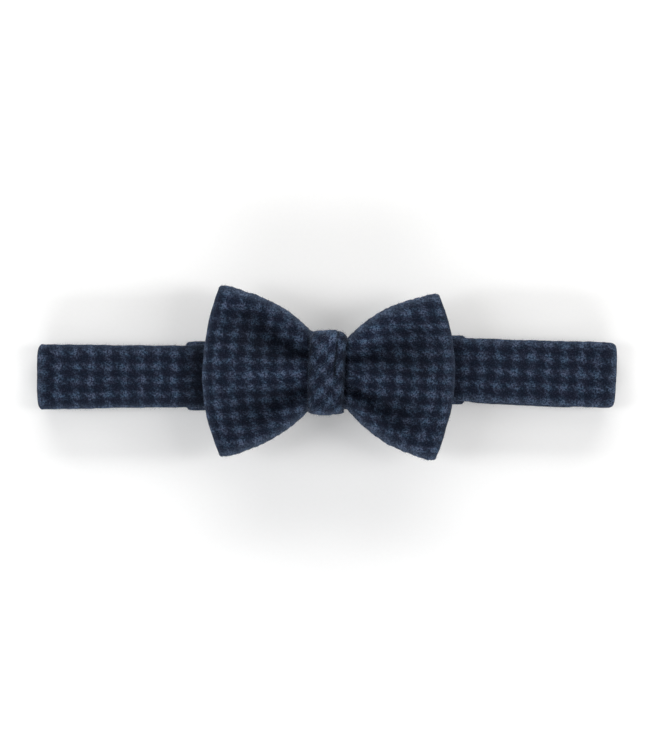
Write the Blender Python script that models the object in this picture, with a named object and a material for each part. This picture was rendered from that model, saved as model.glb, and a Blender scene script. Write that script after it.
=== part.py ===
"""A pre-tied bow tie of wool check cloth, lying flat on a table with its face up (+Z).

X runs along the neckband, Y up the bow, and Z = 0 is the table. The neckband is one loop that is pressed flat:
its front half carries the bow, and its two back halves fold under at the ends and meet behind the bow, where a
hook tape holds on a loop tape. Lengths are in metres, and the driving dimensions below are written in millimetres.
"""

import math

import bpy
from mathutils import Matrix, Vector

MM = 0.001

# Neckband: a flat tube of cloth round an interlining.
BAND_LENGTH = 200 * MM      # end to end when folded flat, so 400 mm round the neck
BAND_WIDTH = 21 * MM
BAND_THICK = 2.0 * MM
CLOTH = 0.6 * MM            # one layer of cloth
INTERLINING = 0.4 * MM
FOLD_RADIUS = 3.5 * MM      # of the band's middle line where it turns under
BAND_RISE = 1.0 * MM        # how much higher the front half lies at the knot than at its ends
LEVEL_X = 30 * MM           # the front half is level this far each side of the knot
GAP = 0.3 * MM              # left between pieces that touch
EDGE_STEPS = 4              # facets round the band's long edges

# The band's plan: straight at the left, rising behind the bow, falling at the right.
BAND_LEFT_Y = -1.2 * MM
KINK_LEFT_X, KINK_RIGHT_X = -49 * MM, 46 * MM
MIDDLE_SLOPE, RIGHT_SLOPE = math.tan(math.radians(1.38)), math.tan(math.radians(-2.45))
KINK_SOFTNESS = 6 * MM
BACK_DROP_Y = 0.7 * MM      # the right back half lies this much lower than the front half

# Closure: the wide tab is the end of the right back half, and the left back half ends on it.
TAB_WIDTH = 24 * MM
TAB_LEFT_X, TAB_RIGHT_X = -48.5 * MM, 47.5 * MM
TAB_SHOULDER = 1.5 * MM
TIP_RADIUS = 3 * MM
LEFT_TIP_X = -5 * MM
LEFT_LIFT_FROM_X, LEFT_LIFT_TO_X = -80 * MM, -54 * MM
TAPE_THICK = 0.5 * MM
PILE = 0.6 * MM             # the height of the engaged hooks and loops
LAYER_GAP = 0.2 * MM
LOOP_TAPE = (88 * MM, 20 * MM)
HOOK_TAPE = (36 * MM, 16 * MM)
TAPE_SEAM_INSET = 1.0 * MM
SEAM_THREAD = 0.12 * MM     # radius
SEAM_LIFT = SEAM_THREAD + 0.02 * MM   # of a seam's middle off its tape
HOOK_TAPE_INSET = 1.5 * MM
LABEL_SIZE = (14 * MM, 12 * MM)
LABEL_X = 64 * MM
LABEL_THICK = 0.25 * MM

# Bow: a flat tube of cloth folded into two loops, gathered by the knot. Sizes are in the bow's own frame.
BOW_X = 1.0 * MM
BOW_TURN = math.radians(-1.46)
CORNER = (37.4 * MM, 29.2 * MM)   # the loops' outer corners
EDGE_BULGE = 6.2 * MM             # how far the outer edges bow out past the corners
GATHER_Y = 11.3 * MM              # half the bow's height inside the knot
GATHER_X = 6.3 * MM
FLARE = 1.8                       # how fast the long edges flare away from the knot
BOW_THICK = 2.0 * MM
BACK_Z = 11.9 * MM                # the back layer's middle
FRONT_Z = 15.8 * MM               # the front layer's middle at the knot
EDGE_FOLD_RADIUS = 2.2 * MM
PUFF = 4.8 * MM
PLEAT = 1.6 * MM
PLEAT_V = 0.45                    # where the two grooves run, as a share of the half height
DROOP = 0.4 * MM
BACK_SEAM_GAP = 1.6 * MM
ACROSS = (0.0, 0.22, 0.45, 0.7, 0.92, 1.0)   # stations from the middle line to a long edge
LAYER_STEPS, FOLD_STEPS = 8, 5

# Knot: a band of cloth over an interlining, wrapped round the gathered bow and the neckband.
KNOT_WIDTH = 13.6 * MM
KNOT_HALF_Y = 14.5 * MM
KNOT_BOTTOM_Z, KNOT_TOP_Z = 6.3 * MM, 20.6 * MM
KNOT_CORNER = 4.0 * MM
KNOT_CLOTH = 0.7 * MM
KNOT_LINING = 0.5 * MM
KNOT_LINING_WIDTH = 10.4 * MM
KNOT_SLIT = 1.6 * MM
KNOT_ROLL = 0.5 * MM
THREAD = 0.2 * MM           # radius of the gathering thread
THREAD_TURNS = 4
THREAD_PITCH = 1.4 * MM

FOLD_Z = BAND_THICK / 2 + FOLD_RADIUS
LEFT_HINGE_X = -(BAND_LENGTH / 2 - FOLD_RADIUS - BAND_THICK / 2)
# The right end is turned, so that its lower corner is what reaches furthest.
RIGHT_HINGE_X = -LEFT_HINGE_X + (BAND_WIDTH - BAND_THICK) / 2 * math.sin(math.atan(RIGHT_SLOPE))
FRONT_END_Z = FOLD_Z + FOLD_RADIUS
LOOP_TAPE_Z = BAND_THICK + LAYER_GAP + TAPE_THICK / 2
HOOK_TAPE_Z = LOOP_TAPE_Z + TAPE_THICK + PILE
LEFT_TIP_Z = HOOK_TAPE_Z + TAPE_THICK / 2 + LAYER_GAP + BAND_THICK / 2


def clear_scene():
    for obj in list(bpy.data.objects):
        bpy.data.objects.remove(obj, do_unlink=True)


def material(name, colour, roughness, metallic=0.0):
    made = bpy.data.materials.new(name)
    made.use_nodes = True
    shader = made.node_tree.nodes["Principled BSDF"]
    shader.inputs["Base Color"].default_value = (*colour, 1)
    shader.inputs["Roughness"].default_value = roughness
    shader.inputs["Metallic"].default_value = metallic
    return made


def empty(name, place, turn=0.0):
    """A frame that a body's pieces hang on, turned about Z."""
    made = bpy.data.objects.new(name, None)
    made.location = place
    made.rotation_euler = (0, 0, turn)
    bpy.context.collection.objects.link(made)
    bpy.context.view_layer.update()
    return made


def add_piece(name, data, finish, holder, in_world=True):
    """One named object. Points given in the world's frame keep their place under the holder."""
    data.materials.append(finish)
    piece = bpy.data.objects.new(name, data)
    bpy.context.collection.objects.link(piece)
    if holder is not None:
        piece.parent = holder
        if in_world:
            piece.data.transform(holder.matrix_world.inverted())
    return piece


def smooth(data):
    data.shade_smooth()
    data.set_sharp_from_angle(angle=math.radians(40))


def mesh_from(name, points, faces):
    data = bpy.data.meshes.new(name)
    data.from_pydata(points, [], faces)
    smooth(data)
    return data


def halves(a, b, width):
    """The two triangles between points a and b of a row and those of the next, split the same way everywhere
    so that the layers of a curved piece stay apart."""
    return [(a, b, b + width), (a, b + width, a + width)]


def solid_through(name, rings):
    """A solid body through flat rings of points, each anticlockwise about the direction of travel."""
    width = len(rings[0])
    count = width * len(rings)
    faces = [tuple(reversed(range(width))), tuple(range(count - width, count))]
    for start in range(0, count - width, width):
        for j in range(width):
            faces += halves(start + j, start + (j + 1) % width, width)
    return mesh_from(name, [p for ring in rings for p in ring], faces)


def wall_between(name, outer, inner, ring, closed_end=False):
    """A closed body between two grids of points. The rows of a tube are rings, and its ends stay open
    unless the far one is closed."""
    width = len(outer[0])
    far = width * len(outer)
    last = far - width
    faces = []
    pairs = [(j, (j + 1) % width) for j in range(width if ring else width - 1)]
    for start in range(0, last, width):
        for a, b in pairs:
            both = halves(start + a, start + b, width)
            faces += both
            faces += [tuple(far + corner for corner in reversed(face)) for face in both]
    faces += [(b, a, far + a, far + b) for a, b in pairs]
    if closed_end:
        faces += [tuple(range(last, far)), tuple(reversed(range(far + last, far + far)))]
    else:
        faces += [(last + a, last + b, far + last + b, far + last + a) for a, b in pairs]
    if not ring:
        for a in range(0, last, width):
            b = a + width - 1
            faces.append((a, a + width, far + a + width, far + a))
            faces.append((b + width, b, far + b, far + b + width))
    return mesh_from(name, [p for grid in (outer, inner) for row in grid for p in row], faces)


def thread(name, points, radius, finish, holder, cyclic=False, in_world=True):
    """A round thread through the points."""
    line = bpy.data.curves.new(name, "CURVE")
    line.dimensions = "3D"
    line.bevel_depth = radius
    line.bevel_resolution = 1
    line.use_fill_caps = True
    spline = line.splines.new("POLY")
    spline.points.add(len(points) - 1)
    for slot, point in zip(spline.points, points):
        slot.co = (*point, 1)
    spline.use_cyclic_u = cyclic
    return add_piece(name, line, finish, holder, in_world)


def ease(t):
    t = min(1.0, max(0.0, t))
    return t * t * (3 - 2 * t)


# ---------------------------------------------------------------- neckband

def ramp(distance):
    """0 before a kink, distance after it, and a parabola across it."""
    if distance <= -KINK_SOFTNESS:
        return 0.0
    if distance >= KINK_SOFTNESS:
        return distance
    return (distance + KINK_SOFTNESS) ** 2 / (4 * KINK_SOFTNESS)


def band_y(x):
    """The neckband's middle line in plan."""
    rise = MIDDLE_SLOPE * ramp(x - KINK_LEFT_X)
    return BAND_LEFT_Y + rise + (RIGHT_SLOPE - MIDDLE_SLOPE) * ramp(x - KINK_RIGHT_X)


def front_z(x):
    hinge = RIGHT_HINGE_X if x > 0 else LEFT_HINGE_X
    return FRONT_END_Z + BAND_RISE * ease((hinge - x) / (hinge - math.copysign(LEVEL_X, x)))


def left_back_z(x):
    """The left back half lies on the table, then climbs onto the tapes."""
    rise = ease((x - LEFT_LIFT_FROM_X) / (LEFT_LIFT_TO_X - LEFT_LIFT_FROM_X))
    return BAND_THICK / 2 + (LEFT_TIP_Z - BAND_THICK / 2) * rise


def right_back_y(x):
    near_fold = ease((RIGHT_HINGE_X - x) / (10 * MM) - 0.5)
    near_tab = ease((x - TAB_RIGHT_X) / (8 * MM))
    return band_y(x) - BACK_DROP_Y * near_fold * near_tab


def oval(width, thick):
    """A flat oval in (across, up), anticlockwise: its right edge from the bottom, then its left edge from the top."""
    radius = thick / 2
    straight = width / 2 - radius
    angles = [-math.pi / 2 + math.pi * i / EDGE_STEPS for i in range(EDGE_STEPS + 1)]
    right = [(straight + math.cos(a) * radius, math.sin(a) * radius) for a in angles]
    left = [(-across, -up) for across, up in right]
    return right + left


def frames(points):
    """(place, across, up) at each point of a path that runs mainly along X."""
    found = []
    for i, place in enumerate(points):
        along = points[min(i + 1, len(points) - 1)] - points[max(i - 1, 0)]
        along.normalize()
        across = Vector((0, 0, 1)).cross(along).normalized()
        found.append((place, across, along.cross(across)))
    return found


def ring_rows(path, widths, inset):
    """The band's section at each point of a path, moved in from its outside."""
    rows = []
    for (place, across, up), width in zip(frames(path), widths):
        flat = oval(width - 2 * inset, BAND_THICK - 2 * inset)
        rows.append([place + across * a + up * b for a, b in flat])
    return rows


def stations(start, end, count):
    return [start + (end - start) * i / count for i in range(count + 1)]


def tip_width(width, from_tip):
    """The width of a band end with rounded corners, at a distance from its tip."""
    if from_tip >= TIP_RADIUS:
        return width
    return width - 2 * (TIP_RADIUS - math.sqrt(max(0.0, TIP_RADIUS**2 - (TIP_RADIUS - from_tip) ** 2)))


def band_cloth(name, path, widths, finish, holder, closed_end=False):
    """A length of the band's cloth tube, with its far end closed if it is a tip."""
    outer = ring_rows(path, widths, 0.0)
    inner = ring_rows(path, widths, CLOTH)
    if closed_end:
        inner = inner[:-1] + [inner[-2]]
    add_piece(name, wall_between(name, outer, inner, True, closed_end), finish, holder)


def band_lining(name, path, widths, finish, holder):
    """The stiffening inside a length of the band."""
    inset = (BAND_THICK - INTERLINING) / 2
    add_piece(name, solid_through(name, ring_rows(path, widths, inset)), finish, holder)


def build_front_band(finishes):
    xs = stations(LEFT_HINGE_X + GAP / 2, RIGHT_HINGE_X - GAP / 2, 32)
    path = [Vector((x, band_y(x), front_z(x))) for x in xs]
    widths = [BAND_WIDTH] * len(path)
    band_cloth("front_band_cloth", path, widths, finishes["wool"], None)
    band_lining("front_band_interlining", path[1:-1], widths[1:-1], finishes["canvas"], None)


def build_fold(name, side, finish):
    """The turn of the cloth at one end of the band, from the front half down to the back half."""
    x, turn = (RIGHT_HINGE_X, math.atan(RIGHT_SLOPE)) if side > 0 else (LEFT_HINGE_X, 0.0)
    outward = Vector((side * math.cos(turn), side * math.sin(turn), 0))
    across = Vector((0, 0, 1)).cross(outward)
    centre = Vector((x, band_y(x), FOLD_Z))
    rows = []
    steps = 8
    trim = GAP / 2 / FOLD_RADIUS
    for i in range(steps + 1):
        angle = math.pi / 2 - trim - (math.pi - 2 * trim) * i / steps
        radial = outward * math.cos(angle) + Vector((0, 0, math.sin(angle)))
        middle = centre + radial * FOLD_RADIUS
        rows.append([middle + across * a + radial * b for a, b in oval(BAND_WIDTH, BAND_THICK)])
    add_piece(name, solid_through(name, rows), finish, None)


def build_left_back(finishes, holder):
    flat = stations(LEFT_HINGE_X + GAP / 2, LEFT_LIFT_FROM_X, 2)
    climb = stations(LEFT_LIFT_FROM_X, LEFT_LIFT_TO_X, 8)
    level = stations(LEFT_LIFT_TO_X, LEFT_TIP_X - TIP_RADIUS, 4)
    tip = [LEFT_TIP_X - TIP_RADIUS * share for share in (0.7, 0.4, 0.15, 0.0)]
    xs = flat + climb[1:] + level[1:] + tip
    path = [Vector((x, BAND_LEFT_Y, left_back_z(x))) for x in xs]
    widths = [tip_width(BAND_WIDTH, LEFT_TIP_X - x) for x in xs]
    band_cloth("left_back_cloth", path, widths, finishes["wool"], holder, closed_end=True)
    band_lining("left_back_interlining", path[1:-4], widths[1:-4], finishes["canvas"], holder)


def build_right_back(finishes, holder):
    strap = stations(RIGHT_HINGE_X - GAP / 2, TAB_RIGHT_X, 10)
    shoulder = [TAB_RIGHT_X - TAB_SHOULDER]
    tab = stations(TAB_RIGHT_X - TAB_SHOULDER, TAB_LEFT_X + TIP_RADIUS, 10)
    tip = [TAB_LEFT_X + TIP_RADIUS * share for share in (0.7, 0.4, 0.15, 0.0)]
    xs = strap + shoulder + tab[1:] + tip
    path = [Vector((x, right_back_y(x), BAND_THICK / 2)) for x in xs]
    widths = [BAND_WIDTH if x >= TAB_RIGHT_X else tip_width(TAB_WIDTH, x - TAB_LEFT_X) for x in xs]
    band_cloth("right_back_cloth", path, widths, finishes["wool"], holder, closed_end=True)
    band_lining("right_back_interlining", path[1:-4], widths[1:-4], finishes["canvas"], holder)


def corners_of(size, place, turn, z):
    """The corners of a tape that lies flat, anticlockwise."""
    signs = ((-1, -1), (1, -1), (1, 1), (-1, 1))
    return [place + turn @ Vector((a * size[0] / 2, b * size[1] / 2, z)) for a, b in signs]


def build_tape(name, size, place, turn, z, finish, holder):
    rows = [corners_of(size, place, turn, z + end * TAPE_THICK / 2) for end in (-1, 1)]
    piece = add_piece(name, solid_through(name, rows), finish, holder)
    soft = piece.modifiers.new("soft edge", "BEVEL")
    soft.width = 0.12 * MM
    soft.segments = 1


def build_tape_seam(name, size, place, turn, z, finish, holder):
    """The line of stitching round a tape, as one closed thread on its face."""
    inner = (size[0] - 2 * TAPE_SEAM_INSET, size[1] - 2 * TAPE_SEAM_INSET)
    ends = corners_of(inner, place, turn, z)
    points = []
    for start, end in zip(ends, ends[1:] + ends[:1]):
        points += [start.lerp(end, share) for share in (0.03, 0.5, 0.97)]
    thread(name, points, SEAM_THREAD, finish, holder, cyclic=True)


def path_normals(path):
    """The direction at each point of a path in X and Z that is square to it."""
    found = []
    for i in range(len(path)):
        along = path[min(i + 1, len(path) - 1)] - path[max(i - 1, 0)]
        found.append(along.cross(Vector((0, 1, 0))).normalized())
    return found


def build_label(finish, holder):
    """A blank woven size label, folded in two and sewn to the band's inner face."""
    half_x, half_y = LABEL_SIZE[0] / 2, LABEL_SIZE[1] / 2
    place = Vector((LABEL_X, right_back_y(LABEL_X), 0))
    low = BAND_THICK + LAYER_GAP / 2 + LABEL_THICK / 2
    lift = LABEL_THICK / 2 + 0.1 * MM
    profile = [(half_x, low + 2 * lift), (-half_x + lift, low + 2 * lift)]
    for angle in (135, 180, 225):
        turn = math.radians(angle)
        profile.append((-half_x + lift + lift * math.cos(turn), low + lift + lift * math.sin(turn)))
    profile += [(-half_x + lift, low), (half_x, low)]
    path = [place + Vector((x, 0, z)) for x, z in profile]
    reach = Vector((0, half_y, 0))
    grids = []
    for offset in (-LABEL_THICK / 2, LABEL_THICK / 2):
        grids.append([[p - reach + n * offset, p + reach + n * offset] for p, n in zip(path, path_normals(path))])
    add_piece("size_label", wall_between("size_label", *grids, False), finish, holder)


# ---------------------------------------------------------------- bow

def long_edge(share):
    """Half the height of the cloth's middle, from the gather (0) to the outer corner (1)."""
    return GATHER_Y + (CORNER[1] - BOW_THICK / 2 - GATHER_Y) * (1 - (1 - share) ** FLARE)


def fold_x(v):
    """Where the outer fold's centre lies."""
    return CORNER[0] + EDGE_BULGE * (1 - v * v) - BOW_THICK / 2 - EDGE_FOLD_RADIUS


def pleats(v):
    """The M of the gathered cloth: a ridge in the middle, two grooves, and edges that turn down."""
    v = abs(v)
    if v <= PLEAT_V:
        return math.cos(math.pi * v / PLEAT_V)
    return -math.cos(math.pi * (v - PLEAT_V) / 0.3) if v < PLEAT_V + 0.3 else math.cos(math.pi * (v - 0.75) / 0.25)


def layer_point(side, share, v, front):
    """A point on the middle of the cloth, from the gather (share 0) to the outer fold (share 1)."""
    x = GATHER_X + (fold_x(v) - GATHER_X) * share
    y = v * long_edge(share)
    z = BACK_Z - DROOP * share * abs(v) ** 3
    if front:
        rise = (FRONT_Z - BACK_Z) * (1 - share) + 2 * EDGE_FOLD_RADIUS * share
        dome = PUFF * math.sin(math.pi * share) ** 0.8 * (1 - 0.25 * v * v)
        z += rise + dome + PLEAT * pleats(v) * (1 - share) ** 1.5
    return Vector((side * x, y, z))


def fold_point(side, angle, v):
    """A point on the outer fold, from the back layer (-90 degrees) to the front layer (90)."""
    back = layer_point(side, 1, v, False)
    reach = EDGE_FOLD_RADIUS * math.cos(angle)
    return back + Vector((side * reach, 0, EDGE_FOLD_RADIUS * (1 + math.sin(angle))))


def bow_rows(v_values):
    """The middle of the cloth once round the bow, from one end of the strip at the centre back to the other."""
    rows = []

    def add(point_at):
        rows.append([point_at(v) for v in v_values])

    def centre_back(side):
        add(lambda v: Vector((side * BACK_SEAM_GAP / 2, v * GATHER_Y, BACK_Z)))

    def loop(side, outward):
        shares = [i / LAYER_STEPS for i in range(LAYER_STEPS + 1)]
        angles = [-math.pi / 2 + math.pi * i / FOLD_STEPS for i in range(1, FOLD_STEPS)]
        back = [lambda v, s=s: layer_point(side, s, v, False) for s in shares]
        turn = [lambda v, a=a: fold_point(side, a, v) for a in angles]
        front = [lambda v, s=s: layer_point(side, s, v, True) for s in reversed(shares)]
        run = back + turn + front
        for point_at in run if outward else reversed(run):
            add(point_at)

    centre_back(-1)
    loop(-1, True)
    add(lambda v: Vector((0, v * GATHER_Y, FRONT_Z + PLEAT * pleats(v))))
    loop(1, False)
    centre_back(1)
    return rows


def normals_of(rows):
    """The outward direction at each point of a grid, from its neighbours."""
    found = []
    for i, row in enumerate(rows):
        line = []
        for j, _ in enumerate(row):
            along = rows[min(i + 1, len(rows) - 1)][j] - rows[max(i - 1, 0)][j]
            across = row[min(j + 1, len(row) - 1)] - row[max(j - 1, 0)]
            line.append(along.cross(across).normalized())
        found.append(line)
    return found


def bow_rings(middle, normals, offset):
    """Rings round the strip at a distance from its middle, with its long edges pointed."""
    rings = []
    for row, line in zip(middle, normals):
        out = [p + n * offset for p, n in zip(row, line)]
        back = [p - n * offset for p, n in zip(row, line)]
        top = row[-1] + (row[-1] - row[-2]).normalized() * offset
        bottom = row[0] + (row[0] - row[1]).normalized() * offset
        rings.append([top, *reversed(out), bottom, *back])
    return rings


def build_bow(finishes, holder):
    """The folded strip: a tube of cloth, and the interlining inside it."""
    v_values = [-v for v in reversed(ACROSS[1:])] + list(ACROSS)
    middle = bow_rows(v_values)
    normals = normals_of(middle)
    outer = bow_rings(middle, normals, BOW_THICK / 2)
    inner = bow_rings(middle, normals, BOW_THICK / 2 - CLOTH)
    shell = wall_between("bow_cloth", outer, inner, True)
    add_piece("bow_cloth", shell, finishes["wool"], holder, in_world=False)
    inside = [row[1:-1] for row in middle[1:-1]]
    inside_normals = [line[1:-1] for line in normals[1:-1]]
    lining = solid_through("bow_interlining", bow_rings(inside, inside_normals, INTERLINING / 2))
    add_piece("bow_interlining", lining, finishes["canvas"], holder, in_world=False)


def zigzag(start, end, swing, count):
    """Points of a ladder stitch between two points, swinging to each side."""
    points = []
    for i in range(count + 1):
        points.append(start.lerp(end, i / count) + swing * (1 if i % 2 else -1))
    return points


def build_back_seam(finish, holder):
    """The stitches that close the strip's two ends at the centre back."""
    reach = GATHER_Y - 1.5 * MM
    swing = Vector((BACK_SEAM_GAP / 2 - GAP - SEAM_THREAD, 0, 0))
    points = zigzag(Vector((0, -reach, BACK_Z)), Vector((0, reach, BACK_Z)), swing, 16)
    thread("back_seam_stitches", points, SEAM_THREAD, finish, holder, in_world=False)


# ---------------------------------------------------------------- knot

def rounded_box(half_y, low, high, bottom_radius, top_radius, opening):
    """(y, z) points round a box with round corners, from one side of an opening at its bottom to the other."""
    corner_steps = 5
    points = [(opening / 2, low)]
    corners = ((1, -1, -90), (1, 1, 0), (-1, 1, 90), (-1, -1, 180))
    for side, end, start in corners:
        radius = top_radius if end > 0 else bottom_radius
        y = side * (half_y - radius)
        z = high - radius if end > 0 else low + radius
        for i in range(corner_steps + 1):
            angle = math.radians(start + 90 * i / corner_steps)
            points.append((y + radius * math.cos(angle), z + radius * math.sin(angle)))
    points.append((-opening / 2, low))
    return points


def wrap_grid(width, inset, roll):
    """Rows of a wrapped band, inset from the knot's outside, with its side edges rolled in a little."""
    columns = (-0.5, -0.38, 0.0, 0.38, 0.5)
    profiles = []
    for column in columns:
        more = roll if abs(column) == 0.5 else 0.0
        low, high = KNOT_BOTTOM_Z + inset, KNOT_TOP_Z - inset - more
        radius = KNOT_CORNER - inset
        profiles.append(rounded_box(KNOT_HALF_Y - inset - more, low, high, radius, radius, KNOT_SLIT))
    rows = []
    for points in zip(*profiles):
        rows.append([Vector((column * width, *point)) for column, point in zip(columns, points)])
    return rows


def build_wrap(name, width, inset, thickness, roll, finish, holder):
    outside, inside = wrap_grid(width, inset, roll), wrap_grid(width, inset + thickness, roll)
    add_piece(name, wall_between(name, inside, outside, False), finish, holder, in_world=False)


def build_knot(finishes, holder):
    build_wrap("knot_wrap", KNOT_WIDTH, 0.0, KNOT_CLOTH, KNOT_ROLL, finishes["wool"], holder)
    inset = KNOT_CLOTH + LAYER_GAP
    build_wrap("knot_interlining", KNOT_LINING_WIDTH, inset, KNOT_LINING, 0.0, finishes["canvas"], holder)
    reach = KNOT_WIDTH / 2 - 1.5 * MM
    z = KNOT_BOTTOM_Z + KNOT_CLOTH / 2
    swing = Vector((0, KNOT_SLIT / 2 - GAP - SEAM_THREAD, 0))
    points = zigzag(Vector((-reach, 0, z)), Vector((reach, 0, z)), swing, 10)
    thread("knot_closing_stitches", points, SEAM_THREAD, finishes["thread"], holder, in_world=False)


def build_gathering_thread(finish, holder):
    """The thread wound round the gathered bow under the knot."""
    low = BACK_Z - BOW_THICK / 2 - LAYER_GAP - THREAD
    high = FRONT_Z + PLEAT + BOW_THICK / 2 + LAYER_GAP + THREAD
    half_y = GATHER_Y + BOW_THICK / 2 + LAYER_GAP + THREAD
    turn = rounded_box(half_y, low, high, 1.0 * MM, 2.4 * MM, 0.0)[:-1]
    points = []
    total = THREAD_TURNS * len(turn)
    for i in range(total):
        y, z = turn[i % len(turn)]
        points.append(Vector(((i / total - 0.5) * THREAD_TURNS * THREAD_PITCH, y, z)))
    thread("gathering_thread", points, THREAD, finish, holder, in_world=False)


def main():
    clear_scene()
    finishes = {
        "wool": material("navy_check_wool", (0.018, 0.028, 0.055), 0.95),
        "canvas": material("canvas_interlining", (0.55, 0.52, 0.45), 0.9),
        "thread": material("navy_thread", (0.012, 0.016, 0.035), 0.7),
        "tape": material("navy_tape", (0.01, 0.013, 0.03), 0.85),
        "label": material("white_label", (0.8, 0.79, 0.76), 0.7),
    }
    build_front_band(finishes)
    build_fold("left_fold", -1, finishes["wool"])
    build_fold("right_fold", 1, finishes["wool"])

    left = empty("left_hinge", (LEFT_HINGE_X, band_y(LEFT_HINGE_X), FOLD_Z))
    build_left_back(finishes, left)
    hook_place = Vector((LEFT_TIP_X - HOOK_TAPE_INSET - HOOK_TAPE[0] / 2, BAND_LEFT_Y, 0))
    level = Matrix.Identity(4)
    build_tape("hook_tape", HOOK_TAPE, hook_place, level, HOOK_TAPE_Z, finishes["tape"], left)
    seam_z = HOOK_TAPE_Z - TAPE_THICK / 2 - SEAM_LIFT
    build_tape_seam("hook_tape_seam", HOOK_TAPE, hook_place, level, seam_z, finishes["thread"], left)

    right = empty("right_hinge", (RIGHT_HINGE_X, band_y(RIGHT_HINGE_X), FOLD_Z), math.atan(RIGHT_SLOPE))
    build_right_back(finishes, right)
    loop_x = (TAB_LEFT_X + TAB_RIGHT_X) / 2
    loop_place = Vector((loop_x, band_y(loop_x), 0))
    turn = Matrix.Rotation(math.atan(MIDDLE_SLOPE), 4, "Z")
    build_tape("loop_tape", LOOP_TAPE, loop_place, turn, LOOP_TAPE_Z, finishes["tape"], right)
    seam_z = LOOP_TAPE_Z + TAPE_THICK / 2 + SEAM_LIFT
    build_tape_seam("loop_tape_seam", LOOP_TAPE, loop_place, turn, seam_z, finishes["thread"], right)
    build_label(finishes["label"], right)

    bow = empty("bow_frame", (BOW_X, 0, 0), BOW_TURN)
    build_bow(finishes, bow)
    build_back_seam(finishes["thread"], bow)
    build_gathering_thread(finishes["thread"], bow)
    build_knot(finishes, bow)


main()
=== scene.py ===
"""The looks of a pre-tied bow tie in brushed houndstooth wool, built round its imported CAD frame.

Lengths named here are in millimetres, in the frame's axes: X along the neckband, Y up the bow, Z out of its
face.
"""

import math
from dataclasses import dataclass

import bpy
import numpy as np
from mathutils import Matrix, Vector, noise

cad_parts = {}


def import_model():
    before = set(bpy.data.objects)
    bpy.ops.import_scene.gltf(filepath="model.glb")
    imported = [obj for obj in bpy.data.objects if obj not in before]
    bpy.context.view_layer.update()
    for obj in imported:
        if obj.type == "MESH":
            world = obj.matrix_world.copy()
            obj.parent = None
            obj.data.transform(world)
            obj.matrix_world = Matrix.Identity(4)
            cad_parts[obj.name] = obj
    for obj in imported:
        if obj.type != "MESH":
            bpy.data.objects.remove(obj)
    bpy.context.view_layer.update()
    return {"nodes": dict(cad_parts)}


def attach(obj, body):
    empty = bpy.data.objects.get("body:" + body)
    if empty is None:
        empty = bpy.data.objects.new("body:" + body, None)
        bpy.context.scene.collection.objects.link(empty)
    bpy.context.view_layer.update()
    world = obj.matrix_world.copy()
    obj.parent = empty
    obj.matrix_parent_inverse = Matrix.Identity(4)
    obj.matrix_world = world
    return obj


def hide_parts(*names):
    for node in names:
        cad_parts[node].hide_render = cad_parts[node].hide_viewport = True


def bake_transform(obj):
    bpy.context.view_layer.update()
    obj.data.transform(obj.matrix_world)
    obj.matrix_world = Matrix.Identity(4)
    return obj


MM = 0.001

# ---- what the CAD part is made to
BAND_WIDTH, BAND_THICK = 21.0, 2.0
FOLD_RADIUS, FOLD_Z = 3.5, 4.5
LEFT_HINGE_X, RIGHT_HINGE_X = -95.5, 95.094
LEFT_Y = -1.2
KINK_LEFT_X, KINK_RIGHT_X, KINK_SOFTNESS = -49.0, 46.0, 6.0
MIDDLE_SLOPE, RIGHT_SLOPE = math.tan(math.radians(1.38)), math.tan(math.radians(-2.45))
BAND_RISE, LEVEL_X = 1.0, 30.0
BACK_DROP_Y = 0.7
TAB_LEFT_X, TAB_RIGHT_X, TAB_WIDTH = -48.5, 48.0, 24.0
FOLD_CORNER = 1.1                   # how round the folded ends' corners look from the front
FOLD_REACH = {-1: 0.1, 1: 1.1}      # how much further out the soft folds push than a true half circle
END_GAP, TUCK = 0.06, 0.3           # the strips stop short of the hinges, and the folds reach into them
BARE_BY_HINGE = 1.5                 # no fibres this near to a hinge, where the band's lengths meet
TIP_CORNER, TAB_CORNER = 2.0, 1.6   # how round the left half's tip and the tab's end are
SHOULDER = 0.8                      # half the length in which the right half widens to its tab
EDGE_WAVER = 0.16                   # of the strips' long edges
# the soft band's extra width, and how far its middle is shifted in Y, against the straight strip along X
SWELL_X = (-100.0, -84.0, -70.0, -45.0, 45.0, 75.0, 95.0, 100.0)
SWELL_WIDTH = (1.6, 1.2, 0.6, 0.4, 0.7, 1.1, 1.8, 1.9)
SWELL_MIDDLE = (-0.25, -0.2, -0.12, -0.1, 0.15, 0.2, 0.25, 0.25)
# beside the wings the band's colour is painted darker, as painted shadow from the wings
WING_SHADOW_X, WING_SHADOW_SHADE = (-52.0, -46.0, -36.0, 36.0, 43.0, 50.0), (0.0, 0.48, 0.52, 0.3, 0.24, 0.0)
LEFT_TIP_X, LEFT_TIP_Z = -5.0, 5.0
LEFT_LIFT_FROM_X, LEFT_LIFT_TO_X = -80.0, -54.0

# ---- the cloth's check
CHECK_X, CHECK_Y = 5.70, 4.83       # one repeat along and across the strip
THREADS = 8                         # in a repeat: four dark, four light
BAND_DRIFT = (3.6, 1.3)             # how far the check has wandered between the band's left and right ends
WING_DRIFT = {-1: (1.0, 2.4), 1: (2.7, -2.5)}
# the painted rim highlight reaches as far in as the raised nap
NAP_REACH = 1.25                    # how far in from an edge the nap is raised

# ---- the bow
BACK_MID_Z, CREST_PUFF = 11.9, 4.8
FOLD_R = 2.2                        # of the middle of the cloth at the loops' outer folds
CLOTH_HALF = 1.0                    # half the thickness of the doubled, lined cloth
GATHER_X, GATHER_Y = 6.3, 11.3
KNOT_FRONT_Z = 16.8                 # the gathered cloth's front, at the knot
BOW_X = 1.0
SLIT_HALF = 0.8                     # half of each gap that stitches close, at the centre back and in the knot


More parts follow.
